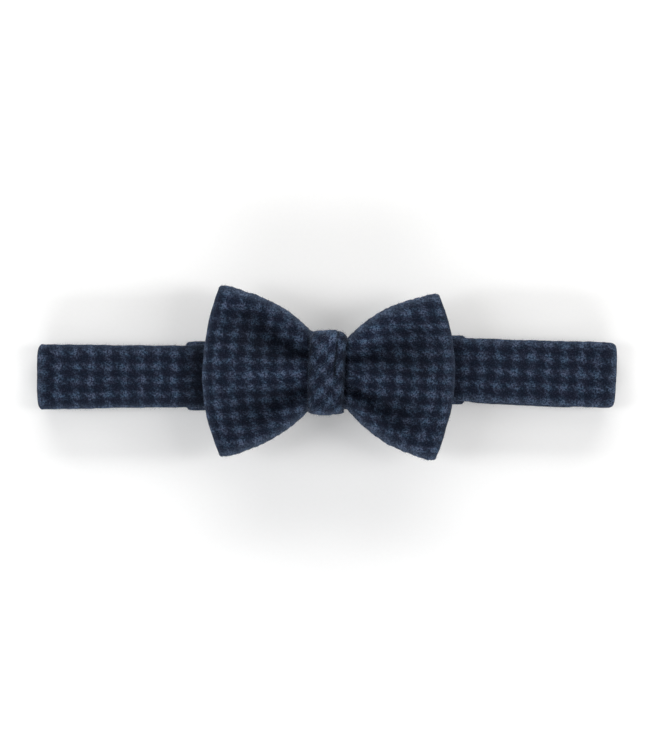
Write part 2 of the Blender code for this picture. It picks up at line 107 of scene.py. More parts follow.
@dataclass
class Wing:
    """One loop of the bow: its outline and pleats, for the side it is on (-1 left, 1 right). knot_y is where
    its long edges start, and flare how each runs out to its corner: the straight share, and the power of the
    rest."""
    side: int
    top: tuple
    bottom: tuple
    bulge: float
    bulge_at: float
    knot_y: tuple
    flare: tuple
    valleys: tuple
    painted_shades: tuple


# A valley is a row of (x out from the middle, y, half width, depth) from the knot outwards. A hollow is the
# same, with how much darker the colour is painted there, as painted shade, in place of the depth; below 0
# it is painted paler, as painted light.
LEFT_WING = Wing(
    side=-1, top=(36.9, 29.9), bottom=(36.75, -28.8), bulge=5.7, bulge_at=0.10,
    knot_y=(13.7, -11.4), flare=((0.55, 3.0), (0.50, 2.6)),
    valleys=(
        ((4.5, 6.2, 1.6, 2.0), (8.0, 6.8, 3.0, 4.6), (13.0, 8.8, 5.4, 7.0), (19.5, 12.8, 7.2, 7.5),
         (25.0, 16.0, 8.0, 6.2), (31.0, 17.4, 7.8, 3.4), (37.0, 18.0, 7.5, 0.0)),
        ((4.5, -6.4, 1.8, 2.2), (8.0, -7.4, 4.0, 5.4), (13.0, -9.5, 5.8, 7.2), (18.0, -12.2, 6.8, 7.6),
         (24.0, -14.4, 7.6, 6.6), (30.0, -14.2, 7.8, 4.4), (37.0, -13.2, 7.5, 0.0)),
    ),
    painted_shades=(
        ((5.0, 5.5, 2.2, 0.2), (9.0, 6.0, 3.0, 0.35), (15.0, 7.0, 4.2, 0.46), (21.0, 9.8, 6.8, 0.44),
         (27.0, 12.8, 8.2, 0.40), (32.0, 14.0, 8.0, 0.24), (37.0, 14.5, 7.0, 0.05)),
        ((6.0, -6.5, 2.2, 0.2), (12.0, -7.8, 2.8, 0.32), (18.0, -9.2, 3.8, 0.42), (23.0, -10.4, 5.0, 0.38),
         (28.0, -12.4, 6.4, 0.32), (34.0, -13.4, 6.4, 0.10), (38.0, -13.0, 6.0, 0.0)),
        ((6.0, 5.8, 1.6, 0.1), (14.0, 9.6, 2.0, 0.20), (19.0, 15.2, 2.4, 0.26), (24.0, 18.6, 2.4, 0.26),
         (29.0, 20.4, 2.4, 0.18), (33.0, 21.0, 2.4, 0.0)),
        ((14.0, -11.5, 1.8, 0.0), (18.0, -15.0, 2.2, 0.24), (22.0, -18.2, 2.2, 0.26),
         (27.0, -19.0, 2.2, 0.10), (31.0, -19.0, 2.0, 0.0)),
        ((24.0, 27.0, 3.0, 0.0), (29.0, 25.0, 3.5, -0.30), (35.0, 25.0, 3.5, -0.40), (38.0, 25.0, 3.5, -0.2)),
        ((9.0, 0.0, 2.2, -0.15), (14.0, 0.0, 2.6, -0.30), (20.0, -0.6, 3.2, -0.22), (29.0, -1.5, 4.0, -0.20),
         (36.0, -2.0, 4.0, 0.0)),
    ),
)
RIGHT_WING = Wing(
    side=1, top=(39.2, 27.0), bottom=(38.0, -30.0), bulge=5.9, bulge_at=-0.06,
    knot_y=(10.8, -11.6), flare=((0.50, 3.2), (0.50, 2.7)),
    valleys=(
        ((6.0, 3.8, 1.6, 1.6), (9.0, 4.6, 2.8, 3.4), (13.5, 5.7, 4.4, 5.6), (19.0, 7.0, 6.2, 6.6),
         (25.5, 8.0, 8.0, 6.4), (31.0, 7.4, 9.0, 5.2), (40.0, 5.5, 9.0, 0.0)),
        ((5.5, -4.8, 1.6, 2.0), (9.0, -6.8, 2.8, 5.0), (15.0, -10.8, 5.0, 7.6), (20.5, -14.0, 6.4, 7.6),
         (26.0, -16.0, 7.4, 6.6), (31.0, -16.4, 7.4, 4.6), (38.0, -16.0, 7.5, 0.0)),
    ),
    painted_shades=(
        ((7.0, 3.4, 2.0, 0.05), (12.0, 3.4, 2.6, 0.14), (18.0, 4.2, 3.8, 0.40), (24.0, 5.2, 6.2, 0.42),
         (29.0, 4.6, 8.0, 0.42), (35.0, 4.2, 7.8, 0.34), (39.0, 4.5, 7.0, 0.10)),
        ((7.0, -5.6, 2.0, 0.30), (13.0, -8.2, 2.4, 0.14), (19.0, -10.8, 3.4, 0.42), (24.0, -12.6, 5.2, 0.42),
         (29.0, -13.8, 6.0, 0.36), (33.0, -14.0, 5.6, 0.16), (37.0, -14.0, 5.0, 0.0)),
        ((20.0, 12.0, 2.5, 0.0), (25.0, 13.8, 3.0, 0.20), (30.0, 13.8, 3.0, 0.20), (34.0, 13.0, 3.0, 0.1),
         (38.0, 12.0, 3.0, 0.0)),
        ((14.0, -11.5, 2.0, 0.0), (18.0, -15.0, 2.2, 0.18), (22.0, -18.0, 2.2, 0.26),
         (27.0, -19.0, 2.4, 0.15), (31.0, -19.0, 2.0, 0.0)),
        ((9.0, 10.5, 2.0, -0.3), (14.0, 12.0, 2.6, -0.45), (20.0, 15.5, 3.0, -0.22), (26.0, 18.5, 3.0, -0.2),
         (31.0, 21.0, 3.0, 0.0)),
    ),
)
WALL_STEEPNESS = 0.80               # a valley's outer wall, as a share of its inner slope's width
VALLEY_SOFTNESS = 0.5


# ---- small helpers

def ease(t):
    t = np.clip(t, 0.0, 1.0)
    return t * t * (3 - 2 * t)


def unit(v):
    return v / np.maximum(np.linalg.norm(v, axis=-1, keepdims=True), 1e-12)


def ruffle(points, scale, amount, seed):
    """Smooth noise at each point, in the points' own shape."""
    flat = points.reshape(-1, 3)
    out = np.empty(len(flat))
    for i, p in enumerate(flat):
        out[i] = noise.noise(Vector((p[0] / scale + seed, p[1] / scale - seed, p[2] / scale + 2 * seed)))
    return out.reshape(points.shape[:-1]) * amount


def add_object(name, data):
    thing = bpy.data.objects.new(name, data)
    bpy.context.collection.objects.link(thing)
    return thing


def running_length(points, axis=0):
    """How far each point lies from the first one, along an axis of the array."""
    steps = np.cumsum(np.linalg.norm(np.diff(points, axis=axis), axis=-1), axis)
    return np.concatenate([np.zeros_like(steps.take([0], axis)), steps], axis)


def all_round(values, inside, edge_steps):
    """Values on a sheet's outer face taken round its section: over both edges, and a share of them inside."""
    ends = [np.repeat(values[:, -1:], edge_steps, 1), np.repeat(values[:, :1], edge_steps, 1)]
    return np.concatenate([values, ends[0], values[:, ::-1] * inside, ends[1]], 1)


def cloth_mesh(name, rings, uvs, finish, nap=None, painted_shade=None):
    """A closed mesh through rows of points in millimetres, with its cloth coordinates. nap is how far the nap
    is raised at each point, which also weighs the painted rim highlight, and the painted shade is how much
    darker the colour is painted there; below 0 it is painted paler, as painted light."""
    rows, width = rings.shape[:2]
    i, j = np.meshgrid(np.arange(rows - 1), np.arange(width), indexing="ij")
    k = (j + 1) % width
    near, far = i * width, (i + 1) * width
    quads = np.stack([near + j, near + k, far + k, far + j], axis=-1).reshape(-1, 4)
    corner = np.stack([uvs[i, j], uvs[i, j + 1], uvs[i + 1, j + 1], uvs[i + 1, j]], axis=2).reshape(-1, 2)
    points = rings.reshape(-1, 3)
    a, b, c, d = (points[quads[:, n]] for n in range(4))
    arm = a - points.mean(axis=0)
    volume = (np.cross(b - a, c - a) * arm).sum() + (np.cross(c - a, d - a) * arm).sum()
    first, last = list(range(width)), list(range((rows - 1) * width, rows * width))
    caps = [first[::-1], last]
    if volume < 0:
        # the rows run the other way round, so every face is turned to point out
        quads = quads[:, ::-1]
        corner = corner.reshape(-1, 4, 2)[:, ::-1].reshape(-1, 2)
        caps = [first, last[::-1]]
    data = bpy.data.meshes.new(name)
    data.from_pydata((points * MM).tolist(), [], quads.tolist() + caps)
    layer = data.uv_layers.new(name="cloth")
    values = np.zeros((len(data.loops), 2))
    values[: len(corner)] = corner
    layer.data.foreach_set("uv", values.ravel())
    for kind, values in (("nap", nap), ("painted_shade", painted_shade)):
        if values is not None:
            layer = data.attributes.new(kind, "FLOAT", "POINT")
            values = np.ascontiguousarray(np.broadcast_to(values, (rows, width)))
            layer.data.foreach_set("value", values.ravel())
    data.shade_smooth()
    data.materials.append(finish)
    return add_object(name, data)


# ---- neckband

def ramp(distance):
    """Nothing before a kink in the band and the distance itself after it, eased from one to the other."""
    soft = KINK_SOFTNESS
    bend = (distance + soft) ** 2 / (4 * soft)
    return np.where(distance <= -soft, 0.0, np.where(distance >= soft, distance, bend))


def band_y(x):
    turn = RIGHT_SLOPE - MIDDLE_SLOPE
    return LEFT_Y + MIDDLE_SLOPE * ramp(x - KINK_LEFT_X) + turn * ramp(x - KINK_RIGHT_X)


def band_width(x):
    return BAND_WIDTH + np.interp(x, SWELL_X, SWELL_WIDTH)


def soft_middle(x):
    return band_y(x) + np.interp(x, SWELL_X, SWELL_MIDDLE)


def front_z(x):
    hinge = np.where(x > 0, RIGHT_HINGE_X, LEFT_HINGE_X)
    level = np.where(x > 0, LEVEL_X, -LEVEL_X)
    return FOLD_Z + FOLD_RADIUS + BAND_RISE * ease((hinge - x) / (hinge - level))


def left_back_z(x):
    rise = ease((x - LEFT_LIFT_FROM_X) / (LEFT_LIFT_TO_X - LEFT_LIFT_FROM_X))
    return BAND_THICK / 2 + (LEFT_TIP_Z - BAND_THICK / 2) * rise


def right_back_y(x):
    near_fold = ease((RIGHT_HINGE_X - x) / 10 - 0.5)
    near_tab = ease((x - TAB_RIGHT_X) / 8)
    return band_y(x) + (soft_middle(x) - band_y(x) - BACK_DROP_Y * near_fold) * near_tab


def flat_section():
    """The section of a pressed tube as (across, up) shares of its half width and half thickness, starting and
    ending at the middle of its underside."""
    corner = 5.0
    edge_up = np.sin(np.linspace(math.asin(0.94), 0, 14))
    edge_across = (1 - edge_up**2) ** (1 / corner)
    inner = np.linspace(0, edge_across[0], 14)[:-1]
    inner_up = np.sqrt(1 - inner**corner)
    across = np.concatenate([inner, edge_across])
    up = np.concatenate([inner_up, edge_up])
    # underside centre -> right edge -> top centre -> left edge -> underside centre
    right = np.concatenate([np.stack([across, -up], 1), np.stack([across, up], 1)[::-1][1:]])
    left = np.stack([-right[:, 0], right[:, 1]], 1)[::-1][1:-1]
    return np.concatenate([right, left])


def strip(name, path, width, thick, finish, along, seed,
          normals=None, end_nap=0.0, across_shift=0.0, painted_shade=0.0):
    """A pressed tube of cloth along a path. along is the cloth coordinate at each row, so that the check runs
    on from one piece to the next, and end_nap how far the nap is raised at each row by a fold, which also
    weighs the painted rim highlight there. The painted shade darkens each row."""
    tangent = unit(np.gradient(path, axis=0))
    if normals is None:
        side = unit(np.cross([0.0, 0.0, 1.0], tangent))
        normals = np.cross(tangent, side)
    side = np.cross(normals, tangent)
    section = flat_section()
    half_w = (width / 2)[:, None]
    half_t = (thick / 2)[:, None]
    a = section[None, :, 0] * half_w
    b = section[None, :, 1] * half_t
    rings = path[:, None] + side[:, None] * a[..., None] + normals[:, None] * b[..., None]
    # the long edges waver, and the faces have the soft unevenness of thick pressed wool
    cloth = np.stack([np.broadcast_to(along[:, None], a.shape), a, np.full(a.shape, seed)], -1)
    waver = ruffle(cloth * [1, 0.02, 1], 2.1, EDGE_WAVER, seed)
    waver = waver + ruffle(cloth * [1, 0.3, 1], 0.9, EDGE_WAVER * 0.45, seed + 5)
    push = np.abs(section[None, :, 0]) ** 8 * np.sign(section[None, :, 0])
    rings += side[:, None] * (waver * push)[..., None]
    flat = (1 - np.abs(section[None, :, 0]) ** 6) * np.sign(section[None, :, 1])
    lumps = ruffle(cloth, 4.5, 0.09, seed + 9) + ruffle(cloth, 1.3, 0.05, seed + 13)
    rings += normals[:, None] * (lumps * flat)[..., None]
    # cloth coordinates: along the strip, and round its section from the middle of the top
    step = np.diff(np.concatenate([section, section[:1]]), axis=0) * [width.mean() / 2, thick.mean() / 2]
    girth = np.concatenate([[0.0], np.cumsum(np.linalg.norm(step, axis=1))])
    girth = girth[-1] / 2 - girth
    u = np.broadcast_to(along[:, None], (len(path), len(girth)))
    v = girth[None] + np.reshape(across_shift, (-1, 1))
    uvs = np.stack([u, np.broadcast_to(v, u.shape)], -1)
    nap = edge_nap((1 - np.abs(section[None, :, 0])) * half_w)
    nap = np.maximum(nap, np.broadcast_to(np.reshape(end_nap, (-1, 1)), nap.shape))
    return cloth_mesh(name, rings, uvs, finish, nap, painted_shade=np.reshape(painted_shade, (-1, 1)) + 0 * nap)


def edge_nap(distance):
    """How far the nap stands up at a distance in from an edge."""
    return np.exp(-((np.maximum(distance, 0) / NAP_REACH) ** 1.5))


def spaced(start, end, step):
    return np.linspace(start, end, int(abs(end - start) / step) + 1)


def rounded_tip(width, from_tip, radius):
    """The strip's width at a distance from its tip, with its corners rounded off."""
    inside = np.clip(radius - from_tip, 0, radius)
    return width - 2 * (radius - np.sqrt(radius**2 - inside**2))


# ---- bow

def along_valley(valley, x, column):
    """One of a valley's numbers at each x, eased over a few millimetres."""
    rows = np.array(valley)
    return sum(np.interp(x + shift, rows[:, 0], rows[:, column]) for shift in (-2.0, -0.7, 0.7, 2.0)) / 4


def valley_depth(wing, x, y):
    """How far the cloth's face is drawn in at each point by the pleats."""
    dip = np.zeros_like(y)
    for valley in wing.valleys:
        middle, width, depth = (along_valley(valley, x, column) for column in (1, 2, 3))
        off = y - middle
        outward = np.where(np.sign(off) == np.sign(middle), WALL_STEEPNESS, 1.0)
        far = np.sqrt((off / (width * outward)) ** 2 + VALLEY_SOFTNESS**2) - VALLEY_SOFTNESS
        dip += depth * np.exp(-(far**1.5))
    return dip


def painted_light_and_shade(wing, x, y):
    """How much darker than flat cloth the colour is painted at each point, as painted shade over the pleats;
    below 0 it is painted paler, as painted light.
    """
    painted_shade = np.zeros_like(y)
    for painted_row in wing.painted_shades:
        middle, width, amount = (along_valley(painted_row, x, column) for column in (1, 2, 3))
        painted_shade += amount * np.exp(-(np.abs((y - middle) / width) ** 2.4))
    return painted_shade


def wing_outline(wing, share):
    """The y of the two long edges at shares from the gather to the outer corner."""
    edges = []
    for knot_y, corner_y, (straight, power) in zip(wing.knot_y, (wing.top[1], wing.bottom[1]), wing.flare):
        far_y = corner_y - math.copysign(CLOTH_HALF, corner_y)
        run = straight * share + (1 - straight) * (1 - (1 - share) ** power)
        edges.append(knot_y + (far_y - knot_y) * run)
    return edges


def wing_sheet(wing, share, v):
    """Outer and inner points of the front layer, then of the back layer, on a grid of shares and v."""
    side = wing.side
    s, w = share[:, None], v[None, :]
    top, bottom = wing_outline(wing, s)
    middle, half = (top + bottom) / 2, (top - bottom) / 2
    y = middle + half * w
    near_x = GATHER_X + side * BOW_X
    reach = (wing.bottom[0] * (1 - w) + wing.top[0] * (1 + w)) / 2
    bow_out = wing.bulge * (1 - w**2) * (1 - wing.bulge_at * w)
    far_x = reach + bow_out - CLOTH_HALF - FOLD_R
    x = near_x + (far_x - near_x) * s
    dip = valley_depth(wing, x, y)
    crown = 1 - 0.25 * w**2
    rise = (KNOT_FRONT_Z - CLOTH_HALF - BACK_MID_Z) * (1 - s) + 2 * FOLD_R * s
    dome = CREST_PUFF * np.sin(math.pi * np.clip(s, 0, 1)) ** 0.6 * crown
    # the long edges roll over a little
    roll = 1.5 * np.abs(w) ** 7 * (1 - s**6)
    droop = 0.4 * s * np.abs(w) ** 3
    front_mid = BACK_MID_Z + rise + dome - droop
    back_mid = BACK_MID_Z - droop + 0 * y
    outer = np.stack([side * x, y, front_mid + CLOTH_HALF - dip - roll], -1)
    inner = np.stack([side * x, y, front_mid - CLOTH_HALF - 0.85 * dip - 0.3 * roll], -1)
    back_outer = np.stack([side * x, y, back_mid - CLOTH_HALF], -1)
    back_inner = np.stack([side * x, y, back_mid + CLOTH_HALF], -1)
    return outer, inner, back_outer, back_inner


def wing_fold(wing, angles, v):
    """The outer fold, from the back layer round to the front layer."""
    _, _, back_outer, back_inner = wing_sheet(wing, np.array([1.0]), v)
    centre = (back_outer + back_inner) / 2 + [0, 0, FOLD_R]
    spin = np.stack([wing.side * np.cos(angles), 0 * angles, np.sin(angles)], -1)[:, None]
    return centre + spin * (FOLD_R + CLOTH_HALF), centre + spin * (FOLD_R - CLOTH_HALF)


def bow_grid(v):
    """Outer and inner points once round the bow, from the centre back over the left loop and then the right,
    and the painted shade there."""
    shares = np.concatenate([[0.0], np.linspace(0.012, 1, 66) ** 1.15])
    angles = np.linspace(-math.pi / 2, math.pi / 2, 12)[1:-1]
    parts = []
    for wing in (LEFT_WING, RIGHT_WING):
        outer, inner, back_outer, back_inner = wing_sheet(wing, shares, v)
        fold_outer, fold_inner = wing_fold(wing, angles, v)
        painted_shade = painted_light_and_shade(wing, np.abs(outer[..., 0]), outer[..., 1])
        rows = [
            np.concatenate([back_outer, fold_outer, outer[::-1]]),
            np.concatenate([back_inner, fold_inner, inner[::-1]]),
            np.concatenate([0 * painted_shade, 0 * fold_outer[..., 0], painted_shade[::-1]]),
        ]
        parts.append([r if wing.side < 0 else r[::-1] for r in rows])

    def seam(side, level):
        x = np.full_like(v, side * SLIT_HALF + BOW_X)
        return np.stack([x, GATHER_Y * v, np.full_like(v, level)], -1)[None]

    levels = (BACK_MID_Z - CLOTH_HALF, BACK_MID_Z + CLOTH_HALF)
    faces = [
        np.concatenate([seam(-1, level), left, right, seam(1, level)])
        for level, left, right in zip(levels, *parts)
    ]
    none = np.zeros((1, len(v)))
    return *faces, np.concatenate([none, parts[0][2], parts[1][2], none])


def edge_arc(outer, inner, beside, steps=8):
    """The rolled long edge that joins the two faces of the cloth, bulging away from the row beside it."""
    middle, half = (outer + inner) / 2, (outer - inner) / 2
    away = outer - beside
    normal = unit(half)
    away = unit(away - normal * (away * normal).sum(-1, keepdims=True))
    reach = np.linalg.norm(half, axis=-1, keepdims=True)
    t = np.linspace(0, math.pi, steps + 2)[1:-1]
    return np.stack([middle + half * math.cos(a) + away * reach * math.sin(a) for a in t], 1)


def build_bow(finish, lining):
    even = np.linspace(-1, 1, 75)
    v = np.sin(even * math.pi / 2) * 0.35 + even * 0.65
    outer, inner, painted_shade = bow_grid(v)
    normal = unit(np.cross(np.gradient(outer, axis=0), np.gradient(outer, axis=1)))
    # cloth coordinates: arc length along each line of the strip, and across it from the middle
    along = running_length(outer)
    middle_row = len(outer) // 2
    along = along - along[middle_row : middle_row + 1] + outer[middle_row, :, 0][None]
    across = running_length(outer, 1)
    across = across - across[:, len(v) // 2 : len(v) // 2 + 1]
    cloth = np.stack([along, across, 0 * along], -1)
    lumps = ruffle(cloth, 5.0, 0.16, 3.0) + ruffle(cloth, 1.5, 0.09, 7.0) + ruffle(cloth, 12.0, 0.35, 11.0)
    shown = outer + normal * lumps[..., None] * np.sign((normal * (outer - inner)).sum(-1, keepdims=True))
    waver = ruffle(cloth * [1, 0.02, 1], 2.0, 0.30, 17.0) + ruffle(cloth * [1, 0.3, 1], 0.9, 0.20, 19.0)
    push = (waver * np.abs(v[None]) ** 12) * np.sign(v)[None]
    shown[..., 1] += push
    inside = inner.copy()
    inside[..., 1] += push
    top = edge_arc(shown[:, -1], inside[:, -1], shown[:, -4])
    bottom = edge_arc(inside[:, 0], shown[:, 0], inside[:, 3])
    rings = np.concatenate([shown, top, inside[:, ::-1], bottom], 1)
    girth = running_length(rings, 1)
    girth = girth - girth[:, len(v) // 2 : len(v) // 2 + 1]
    u = np.concatenate([along, np.repeat(along[:, -1:], top.shape[1], 1), along[:, ::-1],
                        np.repeat(along[:, :1], bottom.shape[1] + 1, 1)], 1)
    closing = girth[:, -1:] + 1.0
    uvs = np.stack([u, np.concatenate([girth, closing], 1)], -1)
    share_right = ease(u / 8 + 0.5)
    for column in (0, 1):
        uvs[..., column] -= WING_DRIFT[-1][column] * (1 - share_right) + WING_DRIFT[1][column] * share_right
    # the nap is raised along the long edges and round the outer folds, which also weighs the painted rim
    # highlight there
    in_from_edge = np.minimum(np.abs(across - across[:, :1]), np.abs(across - across[:, -1:]))
    level = outer[..., 2] - (BACK_MID_Z + FOLD_R)
    x = outer[..., 0]
    reach = np.where(x < 0, x.min(0)[None] - x, x - x.max(0)[None])
    nap = np.maximum(edge_nap(in_from_edge), 0.5 * edge_nap(np.abs(reach)) * (level > -FOLD_R))
    nap, painted_shade = all_round(nap, 0.3, top.shape[1]), all_round(painted_shade, 0.0, top.shape[1])
    bow = cloth_mesh("bow_wool", rings, uvs, finish, nap, painted_shade)
    # its canvas is a fifth as thick as the doubled cloth, and lies in the middle of it
    sheet_outer = (outer + inner) / 2 + (outer - inner) * 0.1
    sheet_inner = (outer + inner) / 2 - (outer - inner) * 0.1
    keep = slice(2, -2)
    ring = np.concatenate([sheet_outer[keep, 3:-3], sheet_inner[keep, 3:-3][:, ::-1]], 1)[:, ::2]
    lining_uv = np.stack(np.meshgrid(np.arange(ring.shape[1] + 1) * 0.8, np.arange(len(ring)) * 0.6), -1)
    core = cloth_mesh("bow_canvas", ring, lining_uv, lining)
    return bow, core


# ---- knot

KNOT_HALF_Y, KNOT_LOW_Z, KNOT_HIGH_Z = 14.4, 6.3, 20.6
KNOT_CORNER, KNOT_CLOTH = 4.2, 0.7
KNOT_HALF_X = 5.85                  # and a little more in the middle of its height
KNOT_BIAS = math.radians(48)        # the angle at which its cloth is cut
KNOT_EDGE_STEPS = 5
CANVAS_NEAR, CANVAS_FAR = 0.03, 0.30    # how far in from the wool the two faces of the knot's canvas lie
CANVAS_SHARE = 0.86                 # of the knot's width


def knot_path():
    """(y, z) and outward directions once round the knot, starting and ending at the slit behind."""
    steps = 22
    points, outward = [], []

    def line(a, b, direction, count):
        for t in np.linspace(0, 1, count)[1:]:
            points.append((a[0] + (b[0] - a[0]) * t, a[1] + (b[1] - a[1]) * t))
            outward.append(direction)

    def corner(centre, start):
        for i in range(1, steps + 1):
            t = math.radians(start + 90 * i / steps)
            outward.append((math.cos(t), math.sin(t)))
            points.append((centre[0] + KNOT_CORNER * math.cos(t), centre[1] + KNOT_CORNER * math.sin(t)))

    flat_y, low, high = KNOT_HALF_Y - KNOT_CORNER, KNOT_LOW_Z + KNOT_CORNER, KNOT_HIGH_Z - KNOT_CORNER
    points.append((SLIT_HALF, KNOT_LOW_Z))
    outward.append((0.0, -1.0))
    line((SLIT_HALF, KNOT_LOW_Z), (flat_y, KNOT_LOW_Z), (0.0, -1.0), 10)
    corner((flat_y, low), -90)
    line((KNOT_HALF_Y, low), (KNOT_HALF_Y, high), (1.0, 0.0), 10)
    corner((flat_y, high), 0)
    line((flat_y, KNOT_HIGH_Z), (-flat_y, KNOT_HIGH_Z), (0.0, 1.0), 44)
    corner((-flat_y, high), 90)
    line((-KNOT_HALF_Y, high), (-KNOT_HALF_Y, low), (-1.0, 0.0), 10)
    corner((-flat_y, low), 180)
    line((-flat_y, KNOT_LOW_Z), (-SLIT_HALF, KNOT_LOW_Z), (0.0, -1.0), 10)
    return np.array(points), np.array(outward)


def build_knot(finish, lining):
    points, outward = knot_path()
    y, z = points[:, :1], points[:, 1:]
    lean = y / KNOT_HALF_Y
    # how much of the knot's modelled front applies: all of it on top, none behind
    front = ease((z - KNOT_LOW_Z - 3) / 8)
    a = [np.linspace(-1, -0.8, 8)[:-1], np.linspace(-0.8, 0.8, 41), np.linspace(0.8, 1, 8)[1:]]
    a = np.concatenate(a)
    half = KNOT_HALF_X + 0.10 * np.cos(lean * math.pi / 2)
    centre_x = 0.10 + (0.60 * lean + 0.40 * lean ** 2) * front
    # its lapped edge shows as a crease right of the middle, here as a share of the half width
    crease = (3.2 + 0.4 * lean) / 6.6
    roll = -1.3 * np.abs(a) ** 7 - 0.25 * a ** 2
    groove = -0.55 * np.exp(-(((a - crease) / 0.085) ** 2)) * front
    lap = -0.25 * ease((a - crease) / 0.1) * front
    soft_fold = -0.16 * np.exp(-(((a + 0.42 - 0.12 * lean) / 0.14) ** 2)) * front
    lift = (roll + groove + lap + soft_fold) * (0.35 + 0.65 * front)
    direction = np.concatenate([0 * y, outward], 1)[:, None]
    base = np.concatenate([centre_x, y, z], 1)
    outer = base[:, None] + (a * half)[..., None] * [1.0, 0.0, 0.0]
    x, run = outer[..., 0], running_length(base)[:, None]
    cloth = np.stack([x, np.broadcast_to(run, x.shape), 0 * x], -1)
    bulge = 0.35 * (1 - a ** 2) * (np.abs(lean) ** 6 * front)
    lumps = ruffle(cloth, 3.5, 0.14, 23.0) + ruffle(cloth, 1.2, 0.08, 29.0)
    waver = ruffle(cloth * [0.05, 1, 1], 1.8, 0.16, 31.0)
    outer = outer + direction * (lift + lumps + bulge)[..., None]
    outer[..., 0] += waver * np.abs(a) ** 8
    inner = outer - direction * KNOT_CLOTH
    rim = edge_arc(outer[:, -1], inner[:, -1], outer[:, -4], KNOT_EDGE_STEPS)
    other = edge_arc(inner[:, 0], outer[:, 0], inner[:, 3], KNOT_EDGE_STEPS)
    rings = np.concatenate([outer, rim, inner[:, ::-1], other], 1)
    girth = running_length(rings, 1)
    girth = np.concatenate([girth, girth[:, -1:] + 0.5], 1) - 4.8
    run = np.broadcast_to(run, girth.shape)
    cos, sin = math.cos(KNOT_BIAS), math.sin(KNOT_BIAS)
    uvs = np.stack([girth * cos - run * sin, girth * sin + run * cos], -1)
    ends = (edge_nap(KNOT_HALF_Y - np.abs(y)) * ease((z - 12) / 6)) * 0.9
    sides = edge_nap((1 - np.abs(a)) * 6.5) * 0.2 * front
    nap = np.maximum(ends, sides)
    # painted light and shade on the knot's front: a patch near its top right painted paler, as light, and
    # painted shade on its rolled side edges, in the crease of its lapped edge and a little all over
    painted_light_patch = -0.60 * np.exp(-(((a * 6.5 - 2.9) / 3.4) ** 2) - ((y - 9.5) / 3.2) ** 2)
    painted_edge_shade = 0.45 * edge_nap((1 - np.abs(a)) * 6.2)
    painted_crease_shade = 0.8 * np.exp(-(((a - crease) / 0.075) ** 2)) * ease(lean * 1.6 + 0.7)
    painted_shade = (0.08 + painted_light_patch + painted_edge_shade + painted_crease_shade) * front
    nap, painted_shade = (all_round(values, 0, KNOT_EDGE_STEPS) for values in (nap, painted_shade))
    wrap = cloth_mesh("knot_wool", rings, uvs, finish, nap, painted_shade)
    # its canvas lies against the inside of the wool, whose turned edges reach past it on both sides
    middle = np.abs(a) < CANVAS_SHARE
    top, under = (inner[:, middle] - direction * depth for depth in (CANVAS_NEAR, CANVAS_FAR))
    ring = np.concatenate([top, under[:, ::-1]], 1)[2:-2]
    grid = np.stack(np.meshgrid(np.arange(ring.shape[1] + 1) * 0.3, np.arange(len(ring)) * 0.5), -1)
    return wrap, cloth_mesh("knot_canvas", ring, grid, lining)


# ---- nap

FLOOR_CLEARANCE = 0.02              # the floor holds the lowest fibres up
ALL_OVER = 0.14                     # how often fibres stand on flat cloth, added to how far the nap is raised


def fuzz(name, piece, count, finish, seed, bare):
    """Loose wool fibres standing off a piece's surface: fine bent three-sided hairs, as one mesh. bare says
    which points have been rubbed smooth."""
    rng = np.random.default_rng(seed)
    data = piece.data
    points = np.empty(len(data.vertices) * 3)
    normals = np.empty(len(data.vertices) * 3)
    data.vertices.foreach_get("co", points)
    data.vertices.foreach_get("normal", normals)
    points, normals = points.reshape(-1, 3) / MM, normals.reshape(-1, 3)
    nap_and_rim_highlight = np.empty(len(points))
    data.attributes["nap"].data.foreach_get("value", nap_and_rim_highlight)
    chance = (ALL_OVER + nap_and_rim_highlight) * ~bare(*points.T)
    pick = rng.choice(len(points), count, p=chance / chance.sum())
    root = points[pick] + rng.normal(0, 0.25, (count, 3)) * (1 - np.abs(normals[pick])) * 0.8
    up = normals[pick]
    lean = rng.normal(0, 1, (count, 3))
    lean = unit(lean - up * (lean * up).sum(1, keepdims=True))
    length = rng.uniform(0.35, 1.15, (count, 1))
    thick = rng.uniform(0.010, 0.018, (count, 1))
    curl = rng.normal(0, 0.35, (count, 1))
    side = np.cross(up, lean)
    steps = 4
    rings = []
    for step in range(steps + 1):
        t = step / steps
        middle = root + up * (length * (0.75 * math.sin(t * 1.4)) - 0.05) + lean * length * (0.9 * t * t)
        middle = middle + side * length * curl * t * t
        taper = thick * (1 - 0.7 * t)
        for corner in range(3):
            a = 2 * math.pi * corner / 3
            point = middle + side * taper * math.cos(a) + up * taper * math.sin(a) * 0.7
            rings.append(point - lean * taper * math.sin(a) * 0.7)
    cloud = np.stack(rings, 1).reshape(-1, 3)
    cloud[:, 2] = np.maximum(cloud[:, 2], FLOOR_CLEARANCE)
    base = (np.arange(count) * 3 * (steps + 1))[:, None]
    faces = []
    for step in range(steps):
        for corner in range(3):
            a, b = step * 3 + corner, step * 3 + (corner + 1) % 3
            faces.append(base + [[a, b, b + 3, a + 3]])
    quads = np.concatenate(faces).tolist()
    caps = (base + [[2, 1, 0]]).tolist() + (base + [[steps * 3, steps * 3 + 1, steps * 3 + 2]]).tolist()
    mesh = bpy.data.meshes.new(name)
    mesh.from_pydata((cloud * MM).tolist(), [], quads + caps)
    mesh.materials.append(finish)
    return add_object(name, mesh)


# ---- materials

MIX_COLOURS = (6, 7)                # a mix node's two colour inputs, which share their names with other kinds


